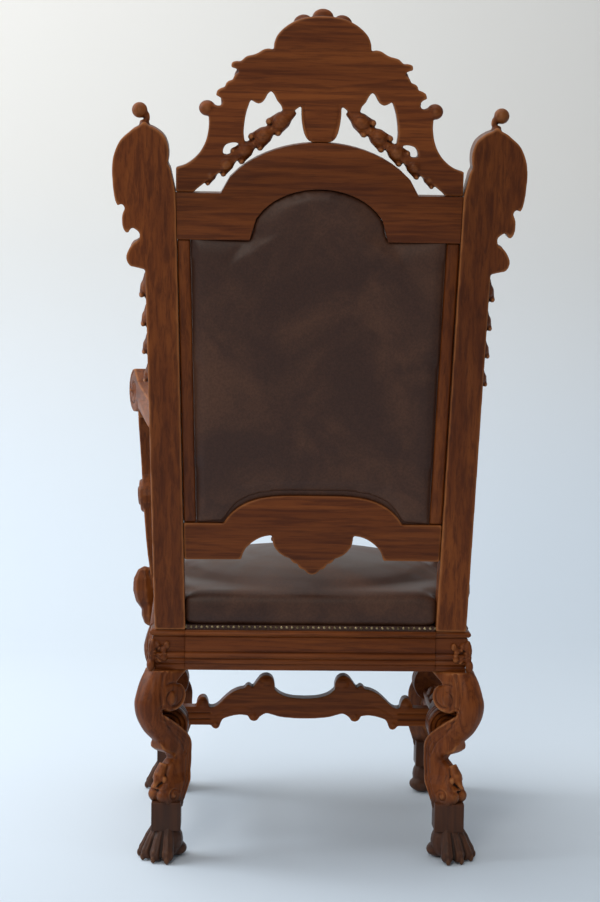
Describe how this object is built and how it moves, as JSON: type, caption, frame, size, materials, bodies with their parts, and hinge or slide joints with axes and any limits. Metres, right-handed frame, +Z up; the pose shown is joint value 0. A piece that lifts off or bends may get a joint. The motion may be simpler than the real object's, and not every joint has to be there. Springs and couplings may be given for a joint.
{
  "type": "throne",
  "caption": "High-backed carved walnut throne armchair with leather back and seat, pierced shell crest, scroll legs on paws and a carved stretcher.",
  "frame": {"origin": "on the floor, at the middle of the object's bounding box", "axes": "+Z up, the sitter looks along -Y, +X to the sitter's left"},
  "size_m": [0.7546, 0.7465, 1.5858],
  "materials": {
    "walnut": "polished, rubbed on the high spots",
    "stretcher_walnut": "worn satin",
    "leather": "dark brown, soft sheen",
    "nails": "aged, domed heads"
  },
  "bodies": {
    "root": {"crest": "walnut", "back_post_left": "walnut", "back_post_right": "walnut", "top_rail": "walnut", "lower_rail": "walnut", "back_strip_left": "walnut", "back_strip_right": "walnut", "rear_rail": "walnut", "front_rail": "walnut", "side_rail_left": "walnut", "side_rail_right": "walnut", "arm_left": "walnut", "arm_right": "walnut", "arm_support_left": "walnut", "arm_support_right": "walnut", "rear_leg_left": "walnut", "rear_leg_right": "walnut", "front_leg_left": "walnut", "front_leg_right": "walnut", "side_stretcher_left": "stretcher_walnut", "side_stretcher_right": "stretcher_walnut", "cross_stretcher": "stretcher_walnut", "back_pad": "leather", "seat_pad": "leather"}
  },
  "joints": []
}
